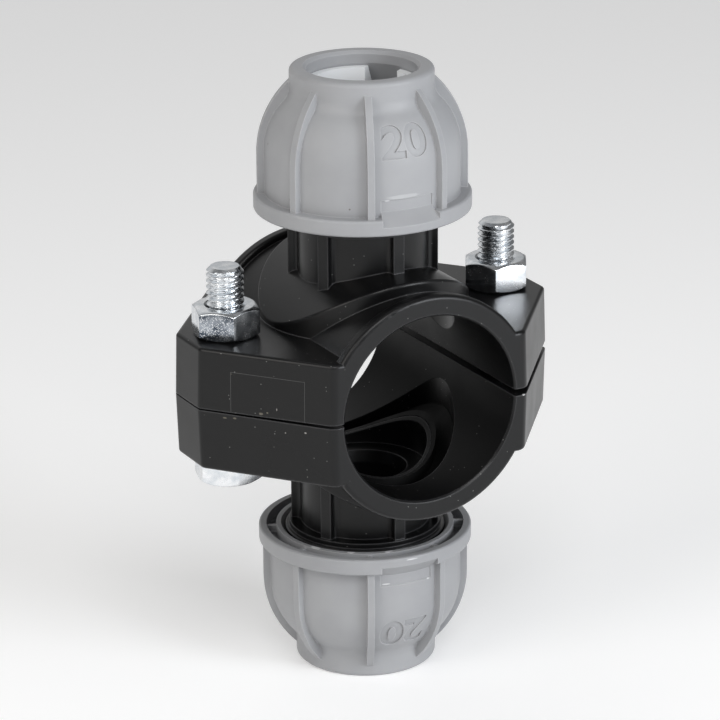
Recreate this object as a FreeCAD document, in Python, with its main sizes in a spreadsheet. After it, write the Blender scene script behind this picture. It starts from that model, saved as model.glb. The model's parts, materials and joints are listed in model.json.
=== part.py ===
import FreeCAD, Part
import math
import os
import re
import Sketcher
from FreeCAD import Placement, Rotation, Vector

# Double tapping saddle: two moulded halves clamp a 40 mm pipe between two bolts, and each
# half carries a compression socket for a 20 mm branch pipe.
# The origin is where the pipe's axis (Y) crosses the branches' axis (Z). X is the line of bolts.
# Every part is drawn as it stands in the upper half. Lower ones are turned over about X.

SIZES = {
    # Clamp body
    "pipe_bore_radius": 20.0,
    "bore_chamfer": 0.4,
    "bore_land_length": 9.6,
    "bore_barrel": 0.05,
    "half_length": 29.2,
    "shell_radius": 23.0,
    "rim_radius": 24.4,
    "rim_width": 3.2,
    "rim_round": 1.0,
    "ear_height": 13.25,
    "ear_tip_reach": 41.6,
    "ear_tip_half_width": 5.6,
    "ear_root_reach": 22.72,
    "ear_draft": 0.42,
    "ear_corner_round": 1.8,
    "ear_root_round": 2.6,
    "ear_edge_round": 0.8,
    # Gap of each half at the split, left and right, and the land that carries it on the left
    "split_gap_left": 0.12,
    "split_gap_right": 0.98,
    "land_inset": 0.5,
    "land_length": 2.6,
    "land_half_width": 4.4,
    # Boss, neck and socket of a half
    "boss_radius": 22.2,
    "boss_crown_radius": 27.8,
    "boss_crown_drop": 2.3,
    "boss_round": 0.6,
    "neck_radius": 13.8,
    "neck_rib_radius": 15.75,
    "neck_rib_width": 2.5,
    "neck_rib_root_round": 1.2,
    "collar_radius": 16.3,
    "collar_level": 33.7,
    "thread_start_level": 34.9,
    "thread_radius": 17.2,
    "thread_run_in": 0.25,
    "thread_chamfer": 0.8,
    "neck_end_level": 51.2,
    "well_radius": 13.4,
    "well_level": 22.0,
    "port_mouth_radius": 9.1,
    "port_radius": 8.4,
    "port_level": 24.6,
    "pipe_stop_level": 30.0,
    "socket_radius": 10.2,
    "seal_seat_radius": 13.4,
    "seal_seat_level": 45.0,
    # Recess and gasket round the branch
    "recess_radius": 19.2,
    "recess_floor_radius": 23.6,
    "spigot_wall": 0.9,
    "gasket_thickness": 1.0,
    "gasket_lip_wall": 0.95,
    "soft_clearance": 0.05,
    # Bolts and hex nuts
    "bolt_edge": 9.3,
    "bolt_radius": 3.93,
    "bolt_tip_level": 28.05,
    "bolt_chamfer": 0.9,
    "bolt_hole_clearance": 0.47,
    "hex_flats": 13.0,
    "bolt_head_thickness": 5.3,
    "hex_nut_thickness": 6.5,
    "hex_bevel": 0.5,
    "nut_thread_clearance": 0.05,
    # Compression nut, measured from its open end
    "nut_start_level": 34.8,
    "upper_nut_backed_off": 1.3,
    "nut_length": 30.2,
    "flange_radius": 22.86,
    "flange_thickness": 3.5,
    "flange_round": 0.5,
    "cup_radius": 20.5,
    "dome_radius": 14.7,
    "dome_start": 13.0,
    "dome_root_round": 4.0,
    "mouth_radius": 15.08,
    "mouth_round": 1.0,
    "mouth_bore_radius": 11.6,
    "mouth_chamfer": 0.65,
    "nut_rib_height": 1.55,
    "nut_rib_width": 1.5,
    "nut_rib_bend": 21.62,
    "nut_rib_bend_start": 11.75,
    "plate_top": 4.4,
    "plate_foot": 1.9,
    "plate_spread": 33.4,
    "panel_top": 7.0,
    "panel_depth": 0.2,
    "thread_clearance": 0.08,
    "nut_thread_length": 16.9,
    "lead_in": 0.8,
    "cone_start": 18.0,
    "cone_radius": 16.0,
    "cone_end": 27.6,
    "skirt_groove_inner": 19.1,
    "skirt_groove_outer": 21.2,
    "skirt_groove_depth": 2.6,
    "skirt_web_width": 0.9,
    # Split ring, blocking bush and pipe seal
    "grip_start": 18.4,
    "grip_length": 8.6,
    "grip_bore_radius": 10.25,
    "grip_plain_length": 3.2,
    "tooth_depth": 0.75,
    "grip_cone_clearance": 0.06,
    "grip_slit_width": 7.4,
    "grip_foot_length": 1.2,
    "bush_flange_radius": 15.6,
    "bush_flange_thickness": 1.95,
    "bush_bore_radius": 10.3,
    "bush_fit": 0.08,
    "seal_thickness": 3.1,
}

NUT_RIBS = 8
GRIP_TEETH = 4
NECK_RIBS = 6
OVERRUN = 5.0
BOLT_REACH = "(ear_tip_reach - bolt_edge)"

# How far each piece is turned about the branches' axis, in degrees.
UPPER_NUT_TURN = -113.5
LOWER_NUT_TURN = 70.0
UPPER_SLIT_TURN = 37.0
LOWER_SLIT_TURN = 120.0
LEFT_HEX_TURN = 16.4
RIGHT_HEX_TURN = 0.0

doc = FreeCAD.newDocument("TappingSaddle")
sheet = doc.addObject("Spreadsheet::Sheet", "Sizes")
for row, (alias, size) in enumerate(SIZES.items(), start=1):
    sheet.set(f"A{row}", alias)
    sheet.set(f"B{row}", str(size))
    sheet.setAlias(f"B{row}", alias)
doc.recompute()


def formula(text):
    """The text with every size's name pointing at its cell in the sheet."""
    return re.sub(r"[a-z_]+", lambda word: f"Sizes.{word[0]}" if word[0] in SIZES else word[0], text)


def bind(item, **formulas):
    """Bind properties to formulas; a double underscore in a name stands for a dot."""
    for name, text in formulas.items():
        item.setExpression(name.replace("__", "."), formula(text))


def amount(text):
    """The number that a formula gives now."""
    result = sheet.evalExpression(formula(text))
    return float(getattr(result, "Value", result))


def hold(sketch, geometry, point, x, y):
    """Hold one point of a sketch at x, y. A leading ~ marks a starting value that stays free."""
    for kind, text, axis in (("DistanceX", x, -2), ("DistanceY", y, -1)):
        if text.startswith("~"):
            continue
        here = amount(text)
        if abs(here) < 1e-9:
            sketch.addConstraint(Sketcher.Constraint("PointOnObject", geometry, point, axis))
        else:
            number = sketch.addConstraint(
                Sketcher.Constraint(kind, -1, 1, geometry, point, here))
            sketch.setExpression(f"Constraints[{number}]", formula(text))


def outline(sketch, corners):
    """Draw a closed outline. A corner is (x, y), or (x, y, centre_x, centre_y, way) where the
    stretch that ends there is an arc about that centre, way being 1 for anticlockwise."""
    spots = [Vector(amount(c[0].lstrip("~")), amount(c[1].lstrip("~")), 0) for c in corners]
    for number, corner in enumerate(corners):
        start, end = spots[number - 1], spots[number]
        if len(corner) == 2:
            sketch.addGeometry(Part.LineSegment(start, end), False)
            continue
        centre = Vector(amount(corner[2]), amount(corner[3]), 0)
        angles = [math.atan2(p.y - centre.y, p.x - centre.x) for p in (start, end)]
        if corner[4] < 0:
            angles.reverse()
        circle = Part.Circle(centre, Vector(0, 0, 1), (start - centre).Length)
        sketch.addGeometry(Part.ArcOfCircle(circle, angles[0], angles[1]), False)
    for number, corner in enumerate(corners):
        after = (number + 1) % len(corners)
        end = 1 if len(corner) == 5 and corner[4] < 0 else 2
        begin = 2 if len(corners[after]) == 5 and corners[after][4] < 0 else 1
        sketch.addConstraint(Sketcher.Constraint("Coincident", number, end, after, begin))
        hold(sketch, number, end, corner[0], corner[1])
        if len(corner) == 5:
            hold(sketch, number, 3, corner[2], corner[3])


def plane_sketch(body, name, role, corners, turn=0.0):
    """A closed outline on one of a body's own origin planes, turned about the sketch's V axis."""
    sketch = body.newObject("Sketcher::SketchObject", name)
    plane = next(f for f in body.Origin.OriginFeatures if f.Role == role)
    sketch.AttachmentSupport = [(plane, "")]
    sketch.MapMode = "FlatFace"
    sketch.AttachmentOffset = Placement(Vector(), Rotation(Vector(0, 1, 0), turn))
    outline(sketch, corners)
    return sketch


def new_body(name):
    body = doc.addObject("PartDesign::Body", name)
    body.Label = name
    return body


def turned(body, name, corners, kind="PartDesign::Revolution", spread="360", centre=0.0):
    """Turn an outline of (radius, level) corners about the body's Z axis, all the way round or
    over a spread of degrees to both sides of a centre."""
    sketch = plane_sketch(body, f"{name}_outline", "XZ_Plane", corners, centre)
    feature = body.newObject(kind, name)
    feature.Profile = sketch
    feature.ReferenceAxis = (sketch, ["V_Axis"])
    feature.Midplane = spread != "360"
    bind(feature, Angle=spread)
    sketch.Visibility = False
    return feature


def polar(body, name, originals, count):
    """Repeat features evenly about the body's Z axis and make that the body's tip."""
    pattern = body.newObject("PartDesign::PolarPattern", name)
    pattern.Originals = originals
    axis = next(f for f in body.Origin.OriginFeatures if f.Role == "Z_Axis")
    pattern.Axis = (axis, [""])
    pattern.Angle = 360.0
    pattern.Occurrences = count
    body.Tip = pattern
    return pattern


def cylinder(name, radius, length, x="0", y="0", z="0", along="Z"):
    item = doc.addObject("Part::Cylinder", name)
    bind(item, Radius=radius, Height=length)
    if along == "Y":
        item.Placement.Rotation = Rotation(Vector(1, 0, 0), -90)
    bind(item, Placement__Base__x=x, Placement__Base__y=y, Placement__Base__z=z)
    return item


def fused(name, pieces):
    item = doc.addObject("Part::MultiFuse", name)
    item.Shapes = pieces
    item.Refine = True
    return item


def common(name, pieces):
    item = doc.addObject("Part::MultiCommon", name)
    item.Shapes = pieces
    return item


def cut(name, base, tool):
    item = doc.addObject("Part::Cut", name)
    item.Base = base
    item.Tool = tool
    return item


def free_sketch(name, corners, level="0", turn=0.0, upright=False):
    """An outline lying at a level, or standing in the XZ plane."""
    sketch = doc.addObject("Sketcher::SketchObject", name)
    if upright:
        sketch.Placement.Rotation = Rotation(Vector(1, 0, 0), 90)
    else:
        sketch.Placement.Rotation = Rotation(Vector(0, 0, 1), turn)
        bind(sketch, Placement__Base__z=level)
    outline(sketch, corners)
    return sketch


def extruded(name, sketch, direction, length, both_ways=False):
    item = doc.addObject("Part::Extrusion", name)
    item.Base = sketch
    item.DirMode = "Custom"
    item.Dir = direction
    item.Solid = True
    item.Symmetric = both_ways
    bind(item, LengthFwd=length)
    return item


def revolved(name, corners, along="Z"):
    """Turn an outline of (radius, level) corners once about the Z axis or the pipe's Y axis."""
    item = doc.addObject("Part::Revolution", name)
    item.Source = free_sketch(f"{name}_outline", corners, upright=along == "Z")
    item.Axis = Vector(0, 0, 1) if along == "Z" else Vector(0, 1, 0)
    item.Angle = 360.0
    item.Solid = True
    return item


def rounded(name, base, radius, wanted):
    """Fillet those edges of base for which wanted(edge) is true."""
    doc.recompute()
    item = doc.addObject("Part::Fillet", name)
    item.Base = base
    size = amount(radius)
    item.Edges = [(n, size, size) for n, edge in enumerate(base.Shape.Edges, start=1) if wanted(edge)]
    return item


def settle(item, node, turn=0.0, lower=False, x="0", lift="0"):
    """Name a finished piece and set it in its place, turned over for the lower half."""
    item.Label = node
    over = Rotation(Vector(1, 0, 0), 180 if lower else 0)
    item.Placement = Placement(Vector(), over.multiply(Rotation(Vector(0, 0, 1), turn)))
    side = "-1" if lower else "1"
    bind(item, Placement__Base__x=x, Placement__Base__z=f"{side} * ({lift})")
    finished.append(item)


def is_vertical(edge):
    ends = [v.Point for v in edge.Vertexes]
    return len(ends) == 2 and abs(ends[0].z - ends[1].z) > 0.9 * amount("ear_height")


def ear_corners(reach_loss):
    """The plan of the ears: a long hexagon, its tips cut off square."""
    root, tip = f"(ear_root_reach - {reach_loss})", f"(ear_tip_reach - {reach_loss})"
    quarter = [(root, "half_length"), (tip, "ear_tip_half_width")]
    right = [quarter[0], quarter[1], (tip, "-ear_tip_half_width"), (root, "-half_length")]
    left = [(f"-{x}", y[1:] if y.startswith("-") else f"-{y}") for x, y in right]
    return right + left


def ear_block(side):
    """Both ears in one drafted block with rounded corners and top edge."""
    block = doc.addObject("Part::Loft", f"{side}_ear_block")
    foot = free_sketch(f"{side}_ear_foot", ear_corners("0"))
    top = free_sketch(f"{side}_ear_top", ear_corners("ear_draft"), level="ear_height")
    block.Sections = [foot, top]
    block.Solid = True
    block.Ruled = True
    middle = (amount("ear_root_reach") + amount("ear_tip_reach")) / 2
    tips = rounded(f"{side}_ear_tips", block, "ear_corner_round",
                   lambda edge: is_vertical(edge) and abs(edge.Vertexes[0].X) > middle)
    posts = rounded(f"{side}_ear_corners", tips, "ear_root_round",
                    lambda edge: is_vertical(edge) and abs(edge.Vertexes[0].X) < middle)
    level = amount("ear_height")
    return rounded(f"{side}_ears", posts, "ear_edge_round",
                   lambda edge: all(abs(v.Z - level) < 0.01 for v in edge.Vertexes))


def rim(side, name, y):
    """A raised rim round one end of the shell."""
    ring = cylinder(f"{side}_{name}_blank", "rim_radius", "rim_width", y=y, along="Y")
    return rounded(f"{side}_{name}", ring, "rim_round",
                   lambda edge: len(edge.Vertexes) == 1 or edge.Length > amount("rim_width") * 2)


def barrel(side):
    """The shell and its rims. Below the ears' tops their block carries the ends instead, so the
    barrel stops just under them."""
    over = str(OVERRUN)
    shell = cylinder(f"{side}_shell", "shell_radius", "2 * half_length", y="-half_length", along="Y")
    whole = fused(f"{side}_barrel_blank", [
        shell, rim(side, "front_rim", "-half_length"), rim(side, "rear_rim", "half_length - rim_width")])
    below = doc.addObject("Part::Box", f"{side}_barrel_foot")
    bind(below, Length=f"2 * (rim_radius + {over})", Width=f"2 * (half_length + {over})",
         Height=f"rim_radius + {over} + ear_height - 1.5 * ear_edge_round",
         Placement__Base__x=f"-(rim_radius + {over})", Placement__Base__y=f"-(half_length + {over})",
         Placement__Base__z=f"-(rim_radius + {over})")
    return cut(f"{side}_barrel", whole, below)


def boss(side):
    """The round boss, its crown curved like the shell."""
    post = cylinder(f"{side}_boss_post", "boss_radius", "boss_crown_radius")
    crown = cylinder(f"{side}_boss_crown", "boss_crown_radius", "2 * half_length",
                     y="-half_length", z="-boss_crown_drop", along="Y")
    blank = common(f"{side}_boss_blank", [post, crown])
    return rounded(f"{side}_boss", blank, "boss_round",
                   lambda edge: edge.BoundBox.ZMax > amount("boss_radius")
                   and edge.BoundBox.XLength > amount("boss_radius"))


def neck(side):
    """The neck with its ribs, and the threaded barrel above the shoulder."""
    stem = revolved(f"{side}_stem", [
        ("0", "0"), ("neck_radius", "0"), ("neck_radius", "collar_level"),
        ("collar_radius", "collar_level"), ("collar_radius", "thread_start_level"),
        ("thread_radius - thread_run_in", "thread_start_level"),
        ("thread_radius", "thread_start_level + thread_run_in"),
        ("thread_radius", "neck_end_level - thread_chamfer"),
        ("thread_radius - thread_chamfer", "neck_end_level"), ("0", "neck_end_level")])
    # A rib's root is rounded by arcs that end just under the skin of the neck.
    reach, half = "neck_rib_radius", "neck_rib_width / 2"
    aside = f"({half} + neck_rib_root_round)"
    sunk = "(neck_radius + neck_rib_root_round - soft_clearance)"
    out = f"sqrt({sunk} ^ 2 - {aside} ^ 2)"
    share = f"(1 - neck_rib_root_round / {sunk})"
    pieces = [stem]
    for number in range(NECK_RIBS // 2):
        plan = free_sketch(f"{side}_rib_{number}_plan", [
            (reach, f"-{half}"), (reach, half), (out, half),
            (f"{out} * {share}", f"~{aside} * {share}", out, aside, -1),
            (f"-{out} * {share}", f"{aside} * {share}"),
            (f"-{out}", f"~{half}", f"-{out}", aside, -1),
            (f"-{reach}", half), (f"-{reach}", f"-{half}"), (f"-{out}", f"-{half}"),
            (f"-{out} * {share}", f"~-{aside} * {share}", f"-{out}", f"-{aside}", -1),
            (f"{out} * {share}", f"-{aside} * {share}"),
            (out, f"~-{half}", out, f"-{aside}", -1)],
            level="ear_height", turn=90 + number * 360 / NECK_RIBS)
        pieces.append(extruded(f"{side}_rib_{number}", plan, Vector(0, 0, 1),
                               "(collar_level + thread_start_level) / 2 - ear_height"))
    return pieces


def recess(side):
    """The ring-shaped seat of the gasket, sunk into the pipe bore round a thin spigot."""
    ring = cut(f"{side}_recess_ring",
               cylinder(f"{side}_recess_outer", "recess_radius", "half_length"),
               cylinder(f"{side}_recess_inner", "well_radius + spigot_wall", "half_length"))
    floor = cylinder(f"{side}_recess_floor", "recess_floor_radius", "2 * half_length",
                     y="-half_length", along="Y")
    return common(f"{side}_recess", [ring, floor])


def openings(side):
    """Everything cut out of a half: the pipe bore, the branch, the gasket seat and bolt holes."""
    over = str(OVERRUN)
    # The bore is a plain land at each end and a trace wider towards the middle.
    wide, tight = "pipe_bore_radius + bore_chamfer", "pipe_bore_radius"
    bore = revolved(f"{side}_pipe_bore", [
        ("0", f"-half_length - {over}"), (wide, f"-half_length - {over}"), (wide, "-half_length"),
        (tight, "bore_chamfer - half_length"), (tight, "bore_land_length - half_length"),
        (f"{tight} + bore_barrel", "0"), (tight, "half_length - bore_land_length"),
        (tight, "half_length - bore_chamfer"), (wide, "half_length"),
        (wide, f"half_length + {over}"), ("0", f"half_length + {over}")], along="Y")
    way = revolved(f"{side}_branch_way", [
        ("0", "0"), ("well_radius", "0"), ("well_radius", "well_level"),
        ("port_mouth_radius", "well_level"), ("port_radius", "port_level"),
        ("port_radius", "pipe_stop_level"), ("socket_radius", "pipe_stop_level"),
        ("socket_radius", "seal_seat_level"), ("seal_seat_radius", "seal_seat_level"),
        ("seal_seat_radius", f"neck_end_level + {over}"), ("0", f"neck_end_level + {over}")])
    far = f"(ear_tip_reach + {over})"
    low = f"-(rim_radius + {over})"
    wedge = free_sketch(f"{side}_split_profile", [
        (f"-{far}", low), (far, low), (far, "split_gap_right"), (f"-{far}", "split_gap_left")],
        upright=True)
    below = extruded(f"{side}_under_split", wedge, Vector(0, 1, 0), f"2 * (half_length + {over})", True)
    land = doc.addObject("Part::Box", f"{side}_land")
    bind(land, Length="land_length", Width="2 * land_half_width", Height="split_gap_right",
         Placement__Base__x="land_inset - ear_tip_reach", Placement__Base__y="-land_half_width")
    below = cut(f"{side}_below_split", below, land)
    holes = [cylinder(f"{side}_bolt_hole_{number}", "bolt_radius + bolt_hole_clearance",
                      f"ear_height + {over}", x=f"{sign}{BOLT_REACH}")
             for number, sign in enumerate(("-", ""))]
    return fused(f"{side}_openings", [bore, way, recess(side), below] + holes)


def saddle(side, lower):
    """One moulded half of the clamp with its branch socket."""
    solid = fused(f"{side}_half_blank", [ear_block(side), barrel(side), boss(side)] + neck(side))
    settle(cut(f"{side}_half", solid, openings(side)), f"{side}_saddle", lower=lower)


def gasket(side, lower):
    """A flat rubber ring on the curved recess floor, with a lip up round the spigot."""
    inner = "well_radius + spigot_wall + soft_clearance"
    outer = "recess_radius - soft_clearance"
    lip = f"{inner} + gasket_lip_wall"

    def sleeve(name, small, large, bottom, top):
        """The ring between two upright cylinders, cut out of the wall between two bores."""
        ring = cut(f"{side}_{name}_ring", cylinder(f"{side}_{name}_outer", large, "half_length"),
                   cylinder(f"{side}_{name}_inner", small, "half_length"))
        wall = cut(f"{side}_{name}_wall",
                   cylinder(f"{side}_{name}_top", top, "2 * half_length", y="-half_length", along="Y"),
                   cylinder(f"{side}_{name}_bottom", bottom, "2 * half_length", y="-half_length", along="Y"))
        return common(f"{side}_{name}", [ring, wall])

    seat = "recess_floor_radius - soft_clearance"
    base = sleeve("gasket_base", inner, outer, f"{seat} - gasket_thickness", seat)
    rise = sleeve("gasket_lip", inner, lip, "pipe_bore_radius", f"{seat} - gasket_thickness / 2")
    settle(fused(f"{side}_gasket", [base, rise]), f"{side}_saddle_gasket", lower=lower)


def hexagon(flats):
    """Six corners, the first on the +X axis, of a hexagon that size across its flats."""
    reach = f"{flats} / sqrt(3)"
    return [(f"{reach} * cos({60 * n})", "0" if n % 3 == 0 else f"{reach} * sin({60 * n})")
            for n in range(6)]


def hex_pad(body, name, thickness, level="0"):
    sketch = plane_sketch(body, f"{name}_plan", "XY_Plane", hexagon("hex_flats"))
    sketch.AttachmentOffset = Placement()
    bind(sketch, AttachmentOffset__Base__z=level)
    pad = body.newObject("PartDesign::Pad", name)
    pad.Profile = sketch
    bind(pad, Length=thickness)
    return pad


def hex_bevel(body, name, level, inward):
    """Turn the corners of a hexagon down at the face at that level."""
    corner = "hex_flats / sqrt(3)"
    flat = "hex_flats / 2"
    turned(body, name, [
        (flat, level), (f"{corner} + hex_bevel", level),
        (f"{corner} + hex_bevel", f"{level} {inward} hex_bevel * 1.6")], "PartDesign::Groove")


def bolt(node, x, turn):
    """A hex bolt, head down under the lower ear."""
    body = new_body(node)
    seat = "-ear_height"
    turned(body, "shank", [
        ("0", f"{seat} - bolt_head_thickness / 2"), ("bolt_radius", f"{seat} - bolt_head_thickness / 2"),
        ("bolt_radius", "bolt_tip_level - bolt_chamfer"),
        ("bolt_radius - bolt_chamfer", "bolt_tip_level"), ("0", "bolt_tip_level")])
    hex_pad(body, "head", "bolt_head_thickness", f"{seat} - bolt_head_thickness")
    hex_bevel(body, "head_bevel", f"{seat} - bolt_head_thickness", "+")
    settle(body, node, turn=turn, x=x)


def hex_nut(node, x, turn):
    """A hex nut, seated on the upper ear."""
    body = new_body(node)
    hex_pad(body, "hexagon", "hex_nut_thickness")
    hex_bevel(body, "top_bevel", "hex_nut_thickness", "-")
    hex_bevel(body, "foot_bevel", "0", "+")
    hole = "(bolt_radius + nut_thread_clearance)"
    turned(body, "hole", [
        ("0", "0"), (f"{hole} + hex_bevel", "0"), (hole, "hex_bevel"),
        (hole, "hex_nut_thickness - hex_bevel"), (f"{hole} + hex_bevel", "hex_nut_thickness"),
        ("0", "hex_nut_thickness")], "PartDesign::Groove")
    settle(body, node, turn=turn, x=x, lift="ear_height")


def compression_nut(side, turn, lower, lift):
    """The ribbed cup that screws over the neck; its cone squeezes the split ring."""
    body = new_body(f"{side}_nut_body")
    centre = "(cup_radius - dome_radius)"
    # The dome's arc runs into the mouth by a hollow arc that touches both.
    aside = f"(mouth_radius + dome_root_round - {centre})"
    above = f"sqrt((dome_radius + dome_root_round) ^ 2 - {aside} ^ 2)"
    share = "dome_radius / (dome_radius + dome_root_round)"
    thread = "(thread_radius + thread_clearance)"
    turned(body, "cup", [
        (f"{thread} + lead_in", "0"),
        ("skirt_groove_inner", "0"), ("skirt_groove_inner", "skirt_groove_depth"),
        ("skirt_groove_outer", "skirt_groove_depth"), ("skirt_groove_outer", "0"),
        ("flange_radius - flange_round", "0"),
        ("~flange_radius", "flange_round", "flange_radius - flange_round", "flange_round", 1),
        ("flange_radius", "flange_thickness - flange_round"),
        ("flange_radius - flange_round", "~flange_thickness",
         "flange_radius - flange_round", "flange_thickness - flange_round", 1),
        ("cup_radius", "flange_thickness"),
        ("cup_radius", "dome_start"),
        (f"{centre} + {aside} * {share}", f"~dome_start + {above} * {share}", centre, "dome_start", 1),
        ("~mouth_radius", f"dome_start + {above}",
         "mouth_radius + dome_root_round", f"dome_start + {above}", -1),
        ("mouth_radius", "nut_length - mouth_round"),
        ("mouth_radius - mouth_round", "~nut_length",
         "mouth_radius - mouth_round", "nut_length - mouth_round", 1),
        ("mouth_bore_radius + mouth_chamfer", "nut_length"),
        ("mouth_bore_radius", "nut_length - mouth_chamfer"),
        ("mouth_bore_radius", "cone_end"),
        ("cone_radius", "cone_start"),
        (thread, "nut_thread_length"),
        (thread, "lead_in")])
    crest = "(cup_radius + nut_rib_height)"
    middle = f"({crest} - nut_rib_bend)"
    rib_top = f"nut_rib_bend_start + sqrt(nut_rib_bend ^ 2 - (mouth_radius - {middle}) ^ 2)"
    root = f"dome_start + sqrt(dome_radius ^ 2 - (mouth_radius - mouth_round - {centre}) ^ 2)"
    sketch = plane_sketch(body, "rib_outline", "XZ_Plane", [
        (crest, "flange_thickness / 2"),
        (crest, "nut_rib_bend_start"),
        ("mouth_radius", f"~{rib_top}", middle, "nut_rib_bend_start", 1),
        ("mouth_radius - mouth_round", f"{rib_top}"),
        ("mouth_radius - mouth_round", f"{root} - nut_rib_width / 2"),
        ("cup_radius - nut_rib_width", "dome_start + 2 * nut_rib_width"),
        ("cup_radius - nut_rib_width", "flange_thickness / 2")])
    rib = body.newObject("PartDesign::Pad", "rib")
    rib.Profile = sketch
    rib.Midplane = True
    bind(rib, Length="nut_rib_width")
    polar(body, "ribs", [rib], NUT_RIBS)
    web_plan = plane_sketch(body, "web_outline", "XZ_Plane", [
        ("skirt_groove_inner - skirt_web_width / 2", "skirt_web_width / 2"),
        ("skirt_groove_outer + skirt_web_width / 2", "skirt_web_width / 2"),
        ("skirt_groove_outer + skirt_web_width / 2", "skirt_groove_depth + skirt_web_width / 2"),
        ("skirt_groove_inner - skirt_web_width / 2", "skirt_groove_depth + skirt_web_width / 2")])
    web = body.newObject("PartDesign::Pad", "web")
    web.Profile = web_plan
    web.Midplane = True
    bind(web, Length="skirt_web_width")
    polar(body, "webs", [web], NUT_RIBS)
    # A bare sloping plate lies across the flange between two ribs, a shallow panel above it.
    plate = dict(spread="plate_spread", centre=180 / NUT_RIBS)
    slope = "((plate_top - plate_foot) / (flange_radius - cup_radius))"
    turned(body, "plate", [
        ("cup_radius - flange_round", "plate_foot"), ("flange_radius - flange_round", "plate_foot"),
        ("flange_radius - flange_round", "plate_top + flange_round"),
        ("cup_radius - flange_round", "plate_top + flange_round")], **plate)
    turned(body, "plate_face", [
        ("cup_radius - panel_depth", "panel_top"), ("flange_radius + lead_in", "panel_top"),
        ("flange_radius + lead_in", f"plate_foot - lead_in * {slope}"),
        ("cup_radius - panel_depth", f"plate_top + panel_depth * {slope}")], "PartDesign::Groove", **plate)
    settle(body, f"{side}_compression_nut", turn=turn, lower=lower, lift=f"nut_start_level + {lift}")


def split_ring(side, turn, lower, lift):
    """The slit ring that grips the branch pipe: a cone outside, teeth inside."""
    body = new_body(f"{side}_split_body")
    slope = "(cone_radius - mouth_bore_radius) / (cone_end - cone_start)"
    foot = f"(cone_radius - (grip_foot_length + grip_start - cone_start) * {slope} - grip_cone_clearance)"
    top = f"(cone_radius - (grip_length + grip_start - cone_start) * {slope} - grip_cone_clearance)"
    pitch = f"(grip_length - grip_plain_length) / {GRIP_TEETH}"
    teeth = []
    for number in range(GRIP_TEETH, 0, -1):
        level = f"{number} * {pitch}"
        teeth += [("grip_bore_radius", level), (f"grip_bore_radius + tooth_depth", f"{level} - 0.15 * {pitch}")]
    turned(body, "ring", [
        ("grip_bore_radius + tooth_depth", "0"), (foot, "0"), (foot, "grip_foot_length"),
        (top, "grip_length"), ("grip_bore_radius", "grip_length")] + teeth)
    slit = plane_sketch(body, "slit_plan", "XY_Plane", [
        ("grip_bore_radius / 2", "-grip_slit_width / 2"), ("cone_radius", "-grip_slit_width / 2"),
        ("cone_radius", "grip_slit_width / 2"), ("grip_bore_radius / 2", "grip_slit_width / 2")])
    pocket = body.newObject("PartDesign::Pocket", "slit")
    pocket.Profile = slit
    pocket.Midplane = True
    bind(pocket, Length="3 * grip_length")
    settle(body, f"{side}_split_ring", turn=turn, lower=lower, lift=f"nut_start_level + grip_start + {lift}")


def blocking_bush(side, lower):
    """The bush that closes the seal's seat; the split ring bears on its flange."""
    body = new_body(f"{side}_bush_body")
    seat_depth = "neck_end_level - seal_seat_level"
    spigot = "(seal_seat_radius - bush_fit)"
    turned(body, "bush", [
        ("bush_bore_radius", f"seal_thickness - ({seat_depth})"), (spigot, f"seal_thickness - ({seat_depth})"),
        (spigot, "0"), ("bush_flange_radius", "0"), ("bush_flange_radius", "bush_flange_thickness"),
        ("bush_bore_radius", "bush_flange_thickness")])
    settle(body, f"{side}_blocking_bush", lower=lower, lift="neck_end_level")


def pipe_seal(side, lower):
    """The O-ring on the floor of its seat."""
    ring = doc.addObject("Part::Torus", f"{side}_seal")
    bind(ring, Radius1="seal_seat_radius - soft_clearance - seal_thickness / 2", Radius2="seal_thickness / 2")
    settle(ring, f"{side}_pipe_seal", lower=lower, lift="seal_seat_level + seal_thickness / 2")


finished = []
for side, lower, nut_turn, slit_turn, lift in (
        ("upper", False, UPPER_NUT_TURN, UPPER_SLIT_TURN, "upper_nut_backed_off"),
        ("lower", True, LOWER_NUT_TURN, LOWER_SLIT_TURN, "0")):
    saddle(side, lower)
    gasket(side, lower)
    compression_nut(side, nut_turn, lower, lift)
    split_ring(side, slit_turn, lower, lift)
    blocking_bush(side, lower)
    pipe_seal(side, lower)
for side, x, turn in (("left", f"-{BOLT_REACH}", LEFT_HEX_TURN), ("right", BOLT_REACH, RIGHT_HEX_TURN)):
    bolt(f"{side}_bolt", x, turn)
    hex_nut(f"{side}_hex_nut", x, turn)
doc.recompute()

for item in doc.Objects:
    if "Invalid" in item.State or "Error" in item.State:
        raise RuntimeError(f"{item.Label} failed: {item.State}")
for item in finished:
    if item.Shape.isNull() or not item.Shape.isValid() or len(item.Shape.Solids) != 1:
        raise RuntimeError(f"{item.Label} is not one valid solid")

os.makedirs("parts", exist_ok=True)
for item in finished:
    item.Shape.exportStep(f"parts/{item.Label}.step")
    box = item.Shape.BoundBox
    print(f"{item.Label:24} {item.Shape.Volume / 1000:8.2f} cm3  "
          f"z {box.ZMin:7.2f} {box.ZMax:7.2f}  x {box.XMin:7.2f} {box.XMax:7.2f}")
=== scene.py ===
import json
import math

import bmesh
import bpy
import numpy as np
from mathutils import Matrix, Vector


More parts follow.
